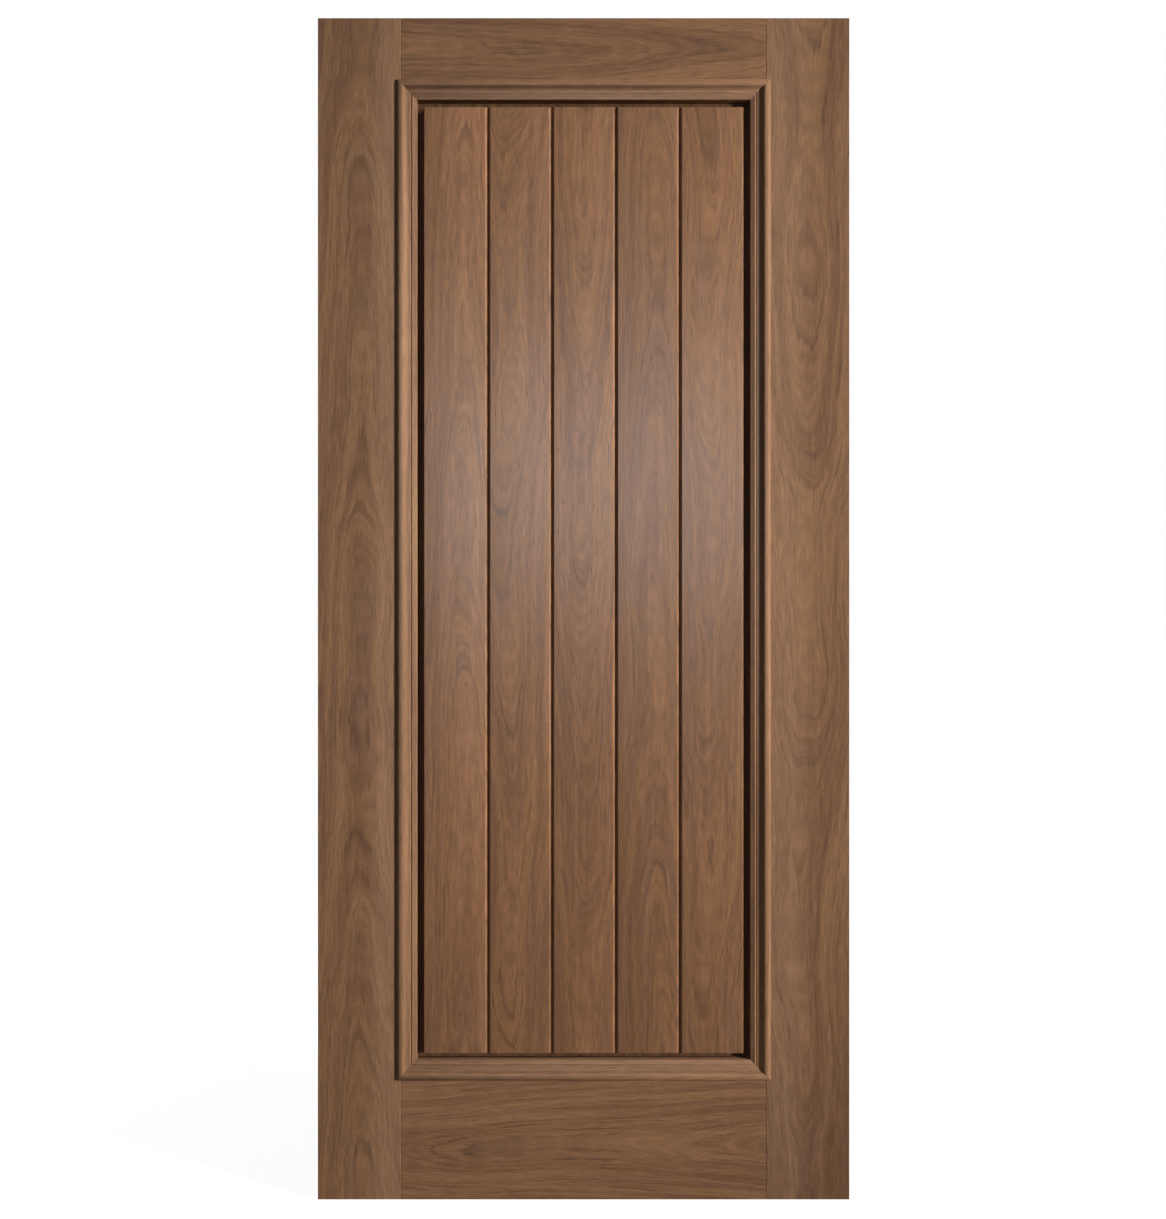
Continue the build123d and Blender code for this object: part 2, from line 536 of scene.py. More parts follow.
    def late_lines(self, tree: Tree, growth: Socket, bands: Socket, figure: Figure) -> Socket:
        """The dark line at the end of each year's growth, stronger in some years than in others.

        Args:
            tree: the material's nodes.
            growth: the distance that the growth rings follow and the height in the log.
            bands: the bands of the wood, which make some years wider than others.
            figure: how the board lay in its log.

        Returns:
            How much late wood shows, from 0 to 1.
        """
        rings = add_node(tree, "SeparateXYZ", {0: growth}).outputs["X"]
        years = add_node(tree, "Math", {0: rings, 1: figure.ring}, operation="DIVIDE").outputs[0]
        years = add_node(
            tree, "Math", {0: bands, 1: self.band_years, 2: years}, operation="MULTIPLY_ADD"
        ).outputs[0]
        season = add_node(tree, "Math", {0: years}, operation="FRACT").outputs[0]
        rise = add_node(
            tree,
            "MapRange",
            {"Value": season, "From Min": self.late_start, "From Max": self.late_peak},
            interpolation_type="SMOOTHSTEP",
        ).outputs["Result"]
        fall = add_node(
            tree,
            "MapRange",
            {"Value": season, "From Min": self.late_peak, "To Min": 1.0, "To Max": 0.0},
            interpolation_type="SMOOTHSTEP",
        ).outputs["Result"]
        line = add_node(tree, "Math", {0: rise, 1: fall}, operation="MULTIPLY").outputs[0]
        good_years = self.streaks(
            tree, growth, self.good_run * figure.ring, self.late_along, self.good_limits
        )
        depth = add_node(
            tree,
            "MapRange",
            {
                "Value": good_years,
                "To Min": self.poor_share * self.late_depth,
                "To Max": self.late_depth,
            },
        ).outputs["Result"]
        return add_node(tree, "Math", {0: line, 1: depth}, operation="MULTIPLY").outputs[0]

    def sap_side(self, tree: Tree, colour: Socket, log: Socket, figure: Figure) -> Socket:
        """Pales the edge of the board that reaches into the sapwood.

        Args:
            tree: the material's nodes.
            colour: the wood's colour.
            log: the place in the log, in millimetres.
            figure: how the board lay in its log.

        Returns:
            The colour with a pale edge.
        """
        across = add_node(tree, "SeparateXYZ", {0: log}).outputs["X"]
        share = add_node(
            tree,
            "MapRange",
            {
                "Value": across,
                "From Min": figure.sap_from - figure.pith_across,
                "From Max": figure.sap_to - figure.pith_across,
                "To Max": figure.sap_share,
            },
            interpolation_type="SMOOTHSTEP",
        ).outputs["Result"]
        return add_node(
            tree, "Mix", {"Factor": share, "A": colour, "B": linear(self.sap)}, data_type="RGBA"
        ).outputs["Result"]

    def fibred(
        self, tree: Tree, colour: Socket, fibre: Socket, strands: Socket, pores: Socket, shade: float
    ) -> Socket:
        """Streaks the colour with fibres and strands, darkens the pores and sets the board's shade.

        Args:
            tree: the material's nodes.
            colour: the wood's colour.
            fibre: the fibres, from 0 to 1.
            strands: the fine strands of the growth rings, from 0 to 1.
            pores: the pores, from 0 to 1.
            shade: how light the board is beside the others, and on a moulding also painted light or
                shade.

        Returns:
            The streaked colour.
        """
        streak = add_node(
            tree,
            "MapRange",
            {
                "Value": fibre,
                "From Min": self.fibre_limits[0],
                "From Max": self.fibre_limits[1],
                "To Min": shade * (1 - self.fibre_depth),
                "To Max": shade * (1 + self.fibre_depth),
            },
        ).outputs["Result"]
        strand = add_node(
            tree,
            "MapRange",
            {"Value": strands, "To Min": 1 - self.strand_depth, "To Max": 1 + self.strand_depth},
        ).outputs["Result"]
        both = add_node(tree, "Math", {0: streak, 1: strand}, operation="MULTIPLY").outputs[0]
        streaked = add_node(
            tree, "VectorMath", {0: colour, "Scale": both}, operation="SCALE"
        ).outputs[0]
        open_pores = add_node(
            tree, "Math", {0: pores, 1: self.pore_depth}, operation="MULTIPLY"
        ).outputs[0]
        return add_node(
            tree, "Mix", {"Factor": open_pores, "A": streaked, "B": linear(self.pore)}, data_type="RGBA"
        ).outputs["Result"]

    def darker_ends(
        self, tree: Tree, colour: Socket, place: bpy.types.Node, grain: Grain
    ) -> Socket:
        """Darkens end grain, which drinks more of the finish.

        Args:
            tree: the material's nodes.
            colour: the wood's colour.
            place: the texture coordinates.
            grain: the way the fibres run.

        Returns:
            The colour with dark ends.
        """
        along = (0, 0, 1) if grain is Grain.UPRIGHT else (1, 0, 0)
        facing = add_node(
            tree, "VectorMath", {0: place.outputs["Normal"], 1: along}, operation="DOT_PRODUCT"
        ).outputs["Value"]
        cut = add_node(tree, "Math", {0: facing}, operation="ABSOLUTE").outputs[0]
        light = add_node(
            tree,
            "MapRange",
            {
                "Value": cut,
                "From Min": self.end_limits[0],
                "From Max": self.end_limits[1],
                "To Min": 1.0,
                "To Max": self.end_grain,
            },
            interpolation_type="SMOOTHSTEP",
        ).outputs["Result"]
        return add_node(tree, "VectorMath", {0: colour, "Scale": light}, operation="SCALE").outputs[0]

    def surface(
        self, tree: Tree, colour: Socket, fibre: Socket, pores: Socket, lacquer: Lacquer
    ) -> None:
        """Joins colour, gloss and relief to the shader.

        Args:
            tree: the material's nodes.
            colour: the wood's colour.
            fibre: the fibres, from 0 to 1.
            pores: the pores, from 0 to 1.
            lacquer: the finish over the wood.
        """
        gloss = add_node(
            tree, "Math", {0: pores, 1: self.pore_matt, 2: lacquer.roughness}, operation="MULTIPLY_ADD"
        ).outputs[0]
        bump = add_node(
            tree,
            "Bump",
            {"Height": fibre, "Strength": self.bump_strength, "Distance": self.bump_mm * MM},
        ).outputs["Normal"]
        shader = add_node(
            tree,
            "BsdfPrincipled",
            {
                "Base Color": colour,
                "Roughness": gloss,
                "IOR": lacquer.ior,
                "Specular IOR Level": lacquer.shine,
                "Normal": bump,
            },
        )
        add_node(tree, "OutputMaterial", {"Surface": shader.outputs["BSDF"]})


FRAME_WALNUT = Walnut()

# Mouldings are run from straight even stock, so their streaks and late-wood lines are weaker.
MOULDING_WALNUT = Walnut(
    pale="#956F50",
    brown="#815E43",
    warm="#946D51",
    streak_depth=0.2,
    warm_depth=0.3,
    late_depth=0.25,
)
# Painted light and shade: each side's moulding is painted darker where its ogee faces the key lamps
# (left, bottom) and lighter where it faces away from them (right, top).
MOULDING_PAINTED_LIGHT = {Side.LEFT: 0.9, Side.RIGHT: 1.02, Side.TOP: 1.03, Side.BOTTOM: 0.95}

# Planks are sawn flat near the pith, so they show more figure and stronger strands than the frame.
PLANK_WALNUT = Walnut(
    pale="#88603F",
    brown="#785338",
    warm="#92684F",
    dusky="#694E40",
    late_wood="#543929",
    streak_depth=0.34,
    strand_depth=0.15,
    fibre_depth=0.15,
    late_depth=0.5,
)


class SectionPen:
    """Draws a section with one vertex in edit mode, then draws the section out to a length of board.

    Places in the section are millimetres: across, and out of the face. Edges sharper than the arris
    angle are softened, and edges blunter than the smooth angle are shaded as one round.
    """

    weld: float = 0.01 * MM
    arris_segments: int = 2
    arris_angle: float = math.radians(35)
    smooth_angle: float = math.radians(32)

    def __init__(self, name: str, origin: Vector, across: Vector, outward: Vector) -> None:
        """Sets the pen down at the section's origin.

        Args:
            name: the new piece's name.
            origin: the section's origin.
            across: the direction across the section.
            outward: the direction out of the face.
        """
        self.origin = origin
        self.across = across
        self.outward = outward
        self.tip = origin.copy()
        bpy.ops.object.select_all(action="DESELECT")
        bpy.ops.mesh.primitive_plane_add(size=MM, location=(0, 0, 0))
        self.piece = bpy.context.active_object
        self.piece.name = name
        bpy.ops.object.mode_set(mode="EDIT")
        bpy.ops.mesh.select_all(action="SELECT")
        bpy.ops.mesh.merge(type="CENTER")
        bpy.ops.transform.translate(value=origin)

    def point(self, across: float, out: float) -> Vector:
        """The place of a point of the section."""
        return self.origin + (self.across * across + self.outward * out) * MM

    def move(self, across: float, out: float) -> None:
        """Moves the first vertex to a point before anything is drawn.

        Args:
            across: the point's place across the section.
            out: its place out of the face.
        """
        target = self.point(across, out)
        bpy.ops.transform.translate(value=target - self.tip)
        self.tip = target

    def line(self, *points: tuple[float, float]) -> None:
        """Draws straight lines through points by extruding the vertex.

        Args:
            points: places in the section.
        """
        for across, out in points:
            target = self.point(across, out)
            bpy.ops.mesh.extrude_region_move(TRANSFORM_OT_translate={"value": target - self.tip})
            self.tip = target

    def arc(self, middle: tuple[float, float], degrees: float, strokes: int) -> None:
        """Draws an arc about a middle, in short strokes.

        Args:
            middle: the arc's centre in the section.
            degrees: its angle, positive from across towards out.
            strokes: how many straight strokes stand for it.
        """
        centre = self.point(*middle)
        arm = self.tip - centre
        start = math.atan2(arm.dot(self.outward), arm.dot(self.across))
        radius = arm.length / MM
        for stroke in range(1, strokes + 1):
            angle = start + math.radians(degrees) * stroke / strokes
            across = middle[0] + radius * math.cos(angle)
            out = middle[1] + radius * math.sin(angle)
            self.line((across, out))

    def bow(self, end: tuple[float, float], swell: float, strokes: int) -> None:
        """Draws an arc that bows out of the face on its way to a point.

        Args:
            end: the arc's far end in the section.
            swell: how far the arc stands off the straight line between its ends.
            strokes: how many straight strokes stand for it.
        """
        arm = (self.tip - self.origin) / MM
        across = arm.dot(self.across)
        out = arm.dot(self.outward)
        half = math.hypot(end[0] - across, end[1] - out) / 2
        radius = (half**2 + swell**2) / (2 * swell)
        drop = (radius - swell) / (2 * half)
        middle = (
            (across + end[0]) / 2 + (end[1] - out) * drop,
            (out + end[1]) / 2 - (end[0] - across) * drop,
        )
        self.arc(middle, -2 * math.degrees(math.asin(half / radius)), strokes)

    def draw_out(self, run: Vector) -> None:
        """Closes the section, fills it and extrudes it along a run.

        Args:
            run: the way from one end of the board to the other.
        """
        bpy.ops.mesh.select_all(action="SELECT")
        bpy.ops.mesh.remove_doubles(threshold=self.weld)
        bpy.ops.mesh.edge_face_add()
        bpy.ops.mesh.extrude_region_move(TRANSFORM_OT_translate={"value": run})

    def cut(self, place: Vector, normal: Vector) -> None:
        """Cuts off what lies past a plane and closes the cut.

        Args:
            place: a point of the plane.
            normal: the direction of what is cut off.
        """
        bpy.ops.mesh.select_all(action="SELECT")
        bpy.ops.mesh.bisect(plane_co=place, plane_no=normal, use_fill=True, clear_outer=True)

    def finish(self, arris: float) -> bpy.types.Object:
        """Turns the faces outwards, softens the arrises and smooths the rounds.

        Args:
            arris: the width of the softened arrises, in millimetres.

        Returns:
            The finished piece.
        """
        bpy.ops.mesh.select_all(action="SELECT")
        bpy.ops.mesh.normals_make_consistent(inside=False)
        bpy.ops.object.mode_set(mode="OBJECT")
        bevel = self.piece.modifiers.new("soft arris", "BEVEL")
        bevel.width = arris * MM
        bevel.segments = self.arris_segments
        bevel.limit_method = "ANGLE"
        bevel.angle_limit = self.arris_angle
        bpy.ops.object.modifier_apply(modifier=bevel.name)
        bpy.ops.object.shade_smooth_by_angle(angle=self.smooth_angle)
        return self.piece


def wear(piece: bpy.types.Object, material: bpy.types.Material) -> None:
    """Gives a piece one material all over."""
    piece.data.materials.clear()
    piece.data.materials.append(material)


def middle_of(node: str) -> Vector:
    """The middle of a node's box."""
    low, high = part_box(node)
    return (low + high) / 2


@dataclass
class LeafFrame:
    """The stiles, rails and inner sheet, which keep their solid shapes."""

    nodes: dict[str, bpy.types.Object]
    walnut: Walnut
    figures: dict[str, Figure]

    def dress(self) -> None:
        """Gives each frame member walnut cut along its own length."""
        for name, figure in self.figures.items():
            grain = Grain.LEVEL if name.endswith("rail") else Grain.UPRIGHT
            lacquer = SEALER if name == "panel_core" else MATT
            wear(self.nodes[name], self.walnut.material(name, middle_of(name), grain, figure, lacquer))
            LOG.info("%s dressed", name)


@dataclass
class PanelMoulding:
    """The mitred bolection moulding of one face. Lengths are millimetres.

    Heights are counted from the face of the frame, and widths from the outer edge of the moulding. Each
    length's figure is drawn from the limits of pith, place in the log and taper.
    """

    face: Face
    walnut: Walnut
    width: float = 35.0
    lap: float = 7.5
    nose_width: float = 9.4
    nose_height: float = 6.0
    nose_foot: float = 0.6
    ogee_width: float = 12.1
    crest_radius: float = 6.0
    ledge_height: float = 0.2
    ledge_width: float = 2.4
    quirk_width: float = 1.4
    quirk_depth: float = 0.7
    bead_width: float = 3.7
    bead_swell: float = 0.6
    slope_drop: float = 0.05
    slope_fall: float = 0.3
    inner_arris: float = 0.8
    soft_arris: float = 0.3
    arc_strokes: int = 12
    pith_across: Limits = (50, 90)
    pith_depth: Limits = (20, 60)
    log_places: Limits = (5000, 90000)
    taper: Limits = (-0.01, 0.01)
    ring: float = 5.0
    sway: float = 5.0
    slot: str = "moulding_walnut"

    def node(self, side: Side) -> str:
        """The name of the node on a side."""
        return f"{self.face.word}_{side.word}_moulding"

    def corners(self) -> tuple[Vector, Vector]:
        """Finds the outer edge of the moulding on the face of the frame.

        Returns:
            Its low left and high right corners.
        """
        left_low, left_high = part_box(self.node(Side.LEFT))
        _, right_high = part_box(self.node(Side.RIGHT))
        stile_low, stile_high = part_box("left_stile")
        level = stile_low.y if self.face is Face.FRONT else stile_high.y
        return Vector((left_low.x, level, left_low.z)), Vector((right_high.x, level, left_high.z))

    def depth(self) -> float:
        """Finds how far the moulding reaches behind the face of the frame, to its bed on the sheet.

        Returns:
            The depth in millimetres, the same on both faces.
        """
        _, sheet_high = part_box("panel_core")
        _, stile_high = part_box("left_stile")
        return (stile_high.y - sheet_high.y) / MM

    def section(self, pen: SectionPen) -> None:
        """Draws the section: nose, ogee, ledge, quirk, bead, slope and the rebate over the frame.

        Args:
            pen: the pen, on the outer edge at the face of the frame.
        """
        rise = self.nose_height - self.nose_foot
        nose_radius = (self.nose_width**2 + rise**2) / (2 * rise)
        nose_turn = math.degrees(math.asin(self.nose_width / nose_radius))
        fall = self.nose_height - self.ledge_height
        ogee_turn = 2 * math.atan2(fall, self.ogee_width)
        hollow_radius = self.ogee_width / math.sin(ogee_turn) - self.crest_radius
        ogee_turn = math.degrees(ogee_turn)
        ledge = self.nose_width + self.ogee_width
        quirk_floor = self.ledge_height - self.quirk_depth
        quirk = ledge + self.ledge_width
        bead = quirk + self.quirk_width
        slope = bead + self.bead_width
        slope_high = self.ledge_height - self.slope_drop
        slope_low = slope_high - self.slope_fall
        depth = self.depth()
        pen.line((0, self.nose_foot))
        pen.arc((self.nose_width, self.nose_height - nose_radius), -nose_turn, self.arc_strokes)
        pen.arc((self.nose_width, self.nose_height - self.crest_radius), -ogee_turn, self.arc_strokes)
        pen.arc((ledge, self.ledge_height + hollow_radius), ogee_turn, self.arc_strokes)
        pen.line((quirk, self.ledge_height), (quirk, quirk_floor), (bead, quirk_floor))
        pen.bow((slope, slope_high), self.bead_swell, self.arc_strokes)
        pen.line(
            (self.width - self.inner_arris, slope_low),
            (self.width, slope_low - self.inner_arris),
            (self.width, -depth),
            (self.lap, -depth),
            (self.lap, 0),
            (0, 0),
        )

    def build(self) -> dict[Side, bpy.types.Object]:
        """Models the four lengths and cuts their mitres.

        Returns:
            The pieces by side.
        """
        low, high = self.corners()
        high_left = Vector((low.x, low.y, high.z))
        low_right = Vector((high.x, low.y, low.z))
        runs = {
            Side.LEFT: (low, high_left),
            Side.RIGHT: (low_right, high),
            Side.TOP: (high_left, high),
            Side.BOTTOM: (low, low_right),
        }
        pieces = {}
        for side, (start, end) in runs.items():
            node = self.node(side)
            along = (end - start).normalized()
            pen = SectionPen(f"{node}_run", start, side.inward, self.face.outward)
            self.section(pen)
            pen.draw_out(end - start)
            pen.cut(end, along + side.inward)
            pen.cut(start, side.inward - along)
            piece = pen.finish(self.soft_arris)
            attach(piece, BODY)
            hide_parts(node)
            pieces[side] = piece
            LOG.info("%s modelled", piece.name)
        return pieces

    def dress(self, pieces: dict[Side, bpy.types.Object], draw: random.Random) -> None:
        """Gives each length straight-grained walnut, painted darker or lighter for how the lamps fall on
        its side.

        Args:
            pieces: the pieces by side.
            draw: where the small differences between lengths come from.
        """
        for side, piece in pieces.items():
            # The shade of each length holds painted light or painted shade for the side it stands on.
            figure = Figure(
                pith_across=draw.uniform(*self.pith_across),
                pith_depth=draw.uniform(*self.pith_depth),
                along=draw.uniform(*self.log_places),
                taper=draw.uniform(*self.taper),
                ring=self.ring,
                sway=self.sway,
                shade=MOULDING_PAINTED_LIGHT[side],
            )
            node = self.node(side)
            wear(piece, self.walnut.material(node, middle_of(node), side.grain, figure, RUBBED))


@dataclass
class PlankPanel:
    """The V-jointed planks of one face. Lengths are millimetres."""

    face: Face
    walnut: Walnut
    count: int = 5
    joint_width: float = 8.6
    slack: float = 0.3
    tongue_thickness: float = 5.0
    tongue_length: float = 6.0
    tongue_slack: float = 0.15
    edge_arris: float = 1.0
    soft_arris: float = 0.35
    slot: str = "plank_walnut"

    def node(self, number: int) -> str:
        """The name of a plank's node."""
        return f"{self.face.word}_plank_{number}"

    def section(self, pen: SectionPen, pitch: float, thickness: float, number: int) -> None:
        """Draws a plank's section, from its bed on the sheet.

        Args:
            pen: the pen, on the left line of the plank's share of the panel.
            pitch: the width of that share.
            thickness: the plank's thickness.
            number: which plank it is, from the left.
        """
        first = number == 1
        last = number == self.count
        joint = self.joint_width / 2
        left = 0 if first else self.slack / 2
        right = pitch if last else pitch - self.slack / 2
        left_cut = self.edge_arris if first else joint
        right_cut = self.edge_arris if last else joint
        tongue_low = (thickness - joint - self.tongue_thickness) / 2
        tongue_high = tongue_low + self.tongue_thickness
        pen.move(left, 0)
        if not first:
            floor = left + self.tongue_length + self.tongue_slack
            low = tongue_low - self.tongue_slack
            high = tongue_high + self.tongue_slack
            pen.line((left, low), (floor, low), (floor, high), (left, high))
        pen.line((left, thickness - left_cut), (left + left_cut, thickness))
        pen.line((right - right_cut, thickness), (right, thickness - right_cut))
        if not last:
            tip = right + self.tongue_length
            pen.line((right, tongue_high), (tip, tongue_high), (tip, tongue_low), (right, tongue_low))
        pen.line((right, 0), (left, 0))

    def build(self) -> list[bpy.types.Object]:
        """Models the planks.

        Returns:
            The planks from left to right.
        """
        low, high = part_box(self.node(1))
        _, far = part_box(self.node(self.count))
        bed = high.y if self.face is Face.FRONT else low.y
        pitch = (far.x - low.x) / self.count
        thickness = (high.y - low.y) / MM
        planks = []
        for number in range(1, self.count + 1):
            node = self.node(number)
            start = Vector((low.x + (number - 1) * pitch, bed, low.z))
            pen = SectionPen(f"{node}_board", start, Vector((1, 0, 0)), self.face.outward)
            self.section(pen, pitch / MM, thickness, number)
            pen.draw_out(Vector((0, 0, high.z - low.z)))
            plank = pen.finish(self.soft_arris)
            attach(plank, BODY)
            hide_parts(node)
            planks.append(plank)
            LOG.info("%s modelled", plank.name)
        return planks

    def dress(self, planks: list[bpy.types.Object], figures: list[Figure]) -> None:
        """Gives each plank its own cut of walnut.

        Args:
            planks: the planks from left to right.
            figures: how each lay in its log.
        """
        for number, (plank, figure) in enumerate(zip(planks, figures), start=1):
            node = self.node(number)
            material = self.walnut.material(node, middle_of(node), Grain.UPRIGHT, figure, SATIN)
            wear(plank, material)


def hang_lamp(
    kind: str, name: str, target: Vector, azimuth: float, elevation: float, distance: float
) -> bpy.types.Object:
    """Hangs a lamp that faces a target.

    Args:
        kind: the lamp's type name.
        name: its name.
        target: the point that it faces.
        azimuth: degrees to the right of straight in front.
        elevation: degrees above level.
        distance: metres from the target.

    Returns:
        The lamp.
    """
    turn = math.radians(azimuth)
    lift = math.radians(elevation)
    towards = Vector(
        (math.sin(turn) * math.cos(lift), -math.cos(turn) * math.cos(lift), math.sin(lift))
    )
    bpy.ops.object.select_all(action="DESELECT")
    bpy.ops.object.light_add(type=kind, location=target + towards * distance)
    lamp = bpy.context.active_object
    lamp.name = name
    lamp.rotation_mode = "QUATERNION"
    lamp.rotation_quaternion = towards.to_track_quat("Z", "Y")
    LOG.info("%s hung", name)
    return lamp


@dataclass(frozen=True)
class KeyLamp:
    """Distant lamps one over the other, whose soft cones fade towards the ends of the leaf.

    Distances are metres and angles degrees. The lamps aim a little above their target. The power is
    that of all the lamps together.
    """

    azimuth: float = 60.0
    elevations: tuple[float, ...] = (3.0, 24.0)
    distance: float = 9.5
    lift: float = 0.08
    radius: float = 0.6
    cone: float = 23.0
    blend: float = 1.0
    power: float = 7050.0

    def hang(self, target: Vector) -> None:
        """Hangs the lamps.

        Args:
            target: the point that they face.
        """
        aim = target + Vector((0, 0, self.lift))
        for number, elevation in enumerate(self.elevations, start=1):
            name = f"key_lamp_{number}"
            lamp = hang_lamp("SPOT", name, aim, self.azimuth, elevation, self.distance)
            lamp.data.energy = self.power / len(self.elevations)
            lamp.data.shadow_soft_size = self.radius
            lamp.data.spot_size = math.radians(self.cone)
            lamp.data.spot_blend = self.blend


@dataclass(frozen=True)
class SheenCard:
    """A wide bright card that only shows as a sheen on the lacquer. Metres and degrees."""

    azimuth: float = 2.0
    elevation: float = 14.0
    distance: float = 3.0
    width: float = 2.0
    height: float = 0.25
    power: float = 182.0

    def hang(self, target: Vector) -> None:
        """Hangs the card.

        Args:
            target: the point that it faces.
        """
        card = hang_lamp("AREA", "sheen_card", target, self.azimuth, self.elevation, self.distance)
        card.data.shape = "RECTANGLE"
        card.data.size = self.width
        card.data.size_y = self.height
        card.data.energy = self.power
        card.visible_diffuse = False


@dataclass(frozen=True)
class RearLamp:
    """A soft lamp that shows the far face and leaves the floor alone. Metres and degrees."""

    azimuth: float = 232.0
    elevation: float = 20.0
    distance: float = 4.0
    size: float = 1.0
    power: float = 220.0

    def hang(self, target: Vector, floor: bpy.types.Object) -> None:
        """Hangs the lamp so that it faces a target and doesn't light the floor.

        Args:
            target: the point that it faces.
            floor: what it leaves dark.
        """
        lamp = hang_lamp("AREA", "rear_lamp", target, self.azimuth, self.elevation, self.distance)
        lamp.data.size = self.size
        lamp.data.energy = self.power
        bpy.ops.object.select_all(action="DESELECT")
        floor.select_set(True)
        bpy.context.view_layer.objects.active = lamp
        bpy.ops.object.light_linking_receivers_link(link_state="EXCLUDE")


@dataclass
class Studio:
    """A white floor, a white surround, lamps and the camera.

    Lengths are metres. The floor glows a little less round the foot of the leaf and is full white beyond
    its reach. The leaf's height and middle in the photograph are pixels of its frame.
    """

    leaf_low: Vector
    leaf_high: Vector
    floor_size: float = 60.0
    floor_colour: str = "#8F8F8F"
    floor_glow: float = 0.95
    floor_foot: float = 0.3
    floor_reach: float = 1.6
    fill: float = 0.065
    camera_distance: float = 2.3
    sensor: float = 36.0
    leaf_pixels: float = 1181.3
    leaf_middle_x: float = 583.6
    leaf_middle_y: float = 608.8
    key: KeyLamp = KeyLamp()
    sheen: SheenCard = SheenCard()
    rear: RearLamp = RearLamp()

    @property
    def middle(self) -> Vector:
        """The middle of the leaf."""
        return (self.leaf_low + self.leaf_high) / 2

    @staticmethod
    def background_rays(tree: Tree) -> Socket:
        """Tells rays that look at the background from rays that light the leaf.

        Args:
            tree: the nodes of the background.

        Returns:
            1 for looks that are straight, in a reflection or through glass, and 0 for light.
        """
        path = add_node(tree, "LightPath")
        seen = add_node(
            tree,
            "Math",
            {0: path.outputs["Is Camera Ray"], 1: path.outputs["Is Glossy Ray"]},
            operation="MAXIMUM",
        ).outputs[0]
        return add_node(
            tree, "Math", {0: seen, 1: path.outputs["Is Transmission Ray"]}, operation="MAXIMUM"
        ).outputs[0]

    def build_world(self) -> None:
        """Surrounds the leaf with white that only dimly lights it."""
        world = bpy.data.worlds.new("white surround")
        bpy.context.scene.world = world
        world.use_nodes = True
        tree = world.node_tree
        tree.nodes.clear()
        strength = add_node(
            tree, "MapRange", {"Value": self.background_rays(tree), "To Min": self.fill, "To Max": 1.0}
        ).outputs["Result"]
        light = add_node(tree, "Background", {"Color": linear(WHITE), "Strength": strength})
        add_node(tree, "OutputWorld", {"Surface": light.outputs[0]})

    def build_floor(self) -> bpy.types.Object:
        """Lays a white floor that keeps a faint shadow at the foot of the leaf.

        Returns:
            The floor.
        """
        bpy.ops.object.select_all(action="DESELECT")
        bpy.ops.mesh.primitive_plane_add(
            size=self.floor_size, location=(self.middle.x, self.middle.y, self.leaf_low.z)
        )
        floor = bpy.context.active_object
        floor.name = "floor"
        # Matt paper has no gloss, so it shows as plain white with only a soft shadow on it.
        material = bpy.data.materials.new("white paper")
        material.use_nodes = True
        tree = material.node_tree
        tree.nodes.clear()
        place = add_node(tree, "TexCoord").outputs["Object"]
        away = add_node(tree, "VectorMath", {0: place}, operation="LENGTH").outputs["Value"]
        white = add_node(
            tree,
            "MapRange",
            {
                "Value": away,
                "From Min": self.floor_foot,
                "From Max": self.floor_reach,
                "To Min": self.floor_glow,
                "To Max": 1.0,
            },
            interpolation_type="SMOOTHSTEP",
        ).outputs["Result"]
        glow = add_node(
            tree, "Math", {0: self.background_rays(tree), 1: white}, operation="MULTIPLY"
        ).outputs[0]
        shining = add_node(tree, "Emission", {"Color": linear(WHITE), "Strength": glow})
        paper = add_node(tree, "BsdfDiffuse", {"Color": linear(self.floor_colour)})
        both = add_node(tree, "AddShader", {0: shining.outputs[0], 1: paper.outputs[0]})
        add_node(tree, "OutputMaterial", {"Surface": both.outputs[0]})
        wear(floor, material)
        floor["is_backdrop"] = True
        return floor

    def build_camera(self) -> None:
        """Sets the camera square to the leaf, framed as in the photograph."""
        metres_per_pixel = (self.leaf_high.z - self.leaf_low.z) / self.leaf_pixels
        view_height = metres_per_pixel * PHOTO_HEIGHT
        aside = (PHOTO_WIDTH / 2 - self.leaf_middle_x) * metres_per_pixel
        above = (self.leaf_middle_y - PHOTO_HEIGHT / 2) * metres_per_pixel
        frame_low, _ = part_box("left_stile")
        place = Vector(
            (self.middle.x + aside, frame_low.y - self.camera_distance, self.middle.z + above)
        )
        bpy.ops.object.select_all(action="DESELECT")
        bpy.ops.object.camera_add(location=place, rotation=(math.pi / 2, 0, 0))
        camera = bpy.context.active_object
        camera.data.sensor_width = self.sensor
        camera.data.lens = self.sensor * self.camera_distance / view_height
        bpy.context.scene.camera = camera

    def build(self) -> None:
        """Makes the studio."""
        bpy.context.scene.view_settings.view_transform = "Standard"
        self.build_world()
        floor = self.build_floor()
        self.key.hang(self.middle)
        self.sheen.hang(self.middle)
        self.rear.hang(self.middle, floor)
        self.build_camera()


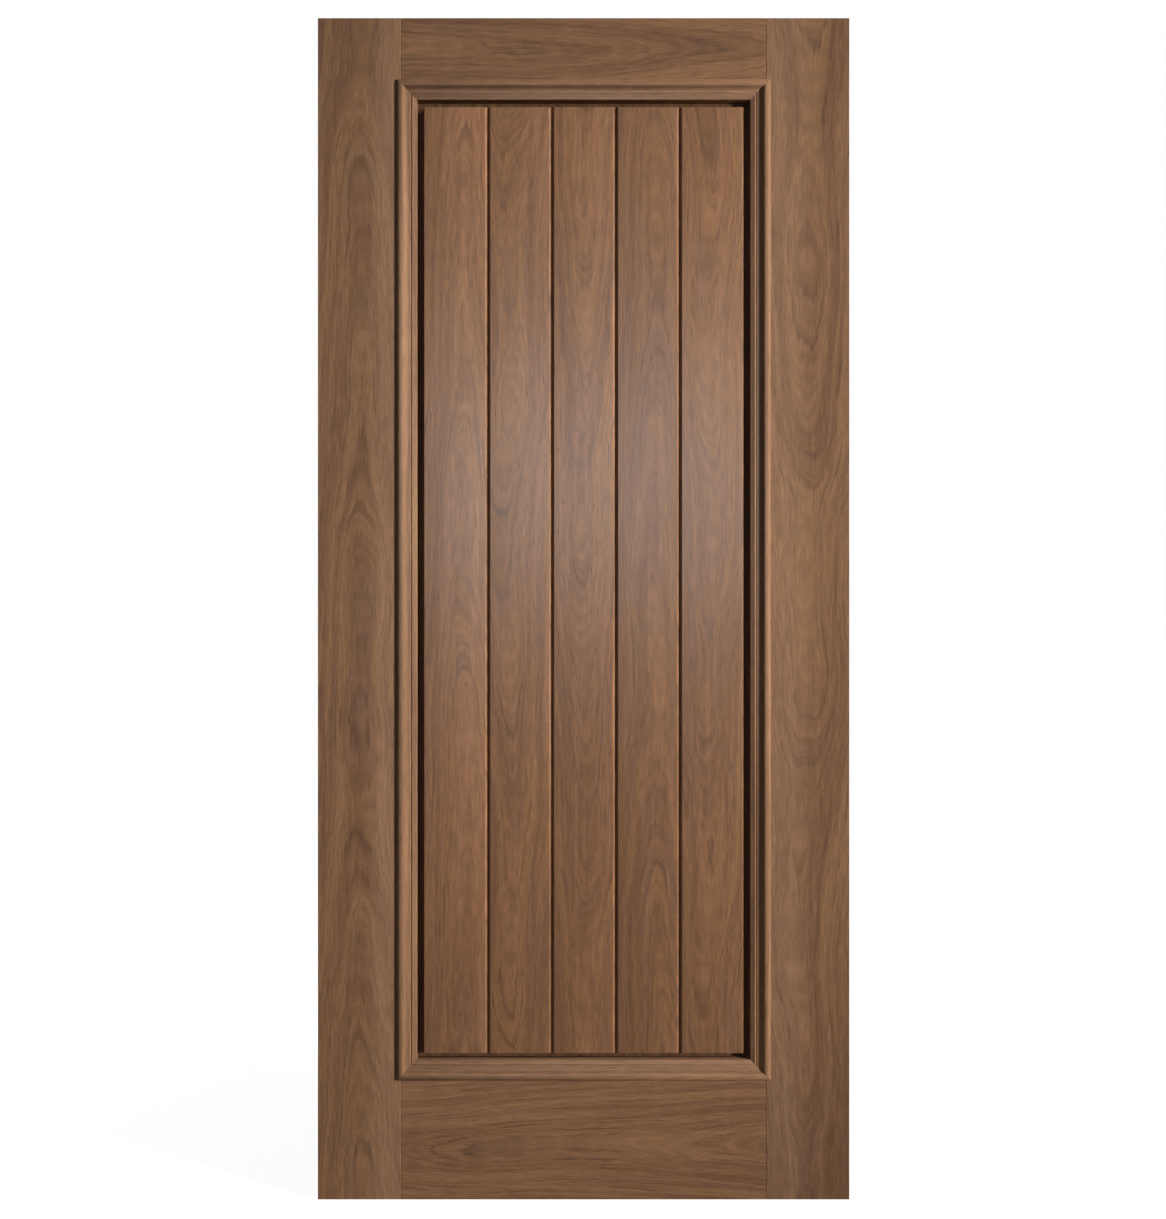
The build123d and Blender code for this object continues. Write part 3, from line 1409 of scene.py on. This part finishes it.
FRAME_FIGURES = {
    "left_stile": Figure(
        pith_across=2, pith_depth=24, along=3000, taper=0.05, sway=14, ring=7,
        sap_from=4, sap_to=44, sap_share=0.2,
    ),
    "right_stile": Figure(
        pith_across=-4, pith_depth=26, along=8000, taper=-0.05, sway=14, ring=7, shade=0.93,
        sap_from=22, sap_to=-36, sap_share=0.19,
    ),
    "top_rail": Figure(
        pith_across=6, pith_depth=16, along=14000, taper=0.05, sway=7, ring=5.5, shade=1.04
    ),
    "bottom_rail": Figure(
        pith_across=-14, pith_depth=18, along=20600, taper=-0.05, sway=8, ring=5.5, shade=1.09
    ),
    "panel_core": Figure(pith_across=240, pith_depth=60, along=26000, ring=9, shade=0.85),
}
FRONT_FIGURES = [
    Figure(pith_across=14, pith_depth=22, along=32000, taper=0.05, sway=11, ring=7, shade=1.03),
    Figure(pith_across=-22, pith_depth=26, along=38000, taper=-0.05, sway=12, ring=7, shade=0.96),
    Figure(pith_across=-2, pith_depth=20, along=44000, taper=-0.06, sway=10, ring=7, shade=0.97),
    Figure(pith_across=12, pith_depth=24, along=50000, taper=0.05, sway=11, ring=7, shade=0.9),
    Figure(pith_across=-8, pith_depth=22, along=56000, taper=-0.05, sway=11, ring=7, shade=0.99),
]
FIGURE_SEED = 7


@dataclass(frozen=True)
class BackFigures:
    """The limits that the figures of the far face's planks are drawn from. Lengths are millimetres."""

    pith_across: Limits = (-24, 24)
    pith_depth: Limits = (20, 26)
    log_places: Limits = (5000, 90000)
    taper: Limits = (-0.06, 0.06)
    ring: float = 7
    sway: Limits = (10, 12)
    shade: Limits = (0.94, 1.02)

    def pick(self, draw: random.Random, count: int) -> list[Figure]:
        """Draws figures, with the pith on the side of the near face.

        Args:
            draw: where the differences between planks come from.
            count: how many planks there are.

        Returns:
            One figure a plank.
        """
        return [
            Figure(
                pith_across=draw.uniform(*self.pith_across),
                pith_depth=-draw.uniform(*self.pith_depth),
                along=draw.uniform(*self.log_places),
                taper=draw.uniform(*self.taper),
                ring=self.ring,
                sway=draw.uniform(*self.sway),
                shade=draw.uniform(*self.shade),
            )
            for _ in range(count)
        ]


def main() -> None:
    """Loads the leaf, models and dresses its pieces and builds the studio."""
    logging.basicConfig(level=logging.INFO, format="%(message)s")
    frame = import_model()
    cad_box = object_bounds()
    draw = random.Random(FIGURE_SEED)
    LeafFrame(frame["nodes"], FRAME_WALNUT, FRAME_FIGURES).dress()
    for face in Face:
        moulding = PanelMoulding(face, MOULDING_WALNUT)
        moulding.dress(moulding.build(), draw)
        panel = PlankPanel(face, PLANK_WALNUT)
        figures = FRONT_FIGURES if face is Face.FRONT else BackFigures().pick(draw, panel.count)
        panel.dress(panel.build(), figures)
    Studio(*cad_box).build()


if __name__ == "__main__":
    main()
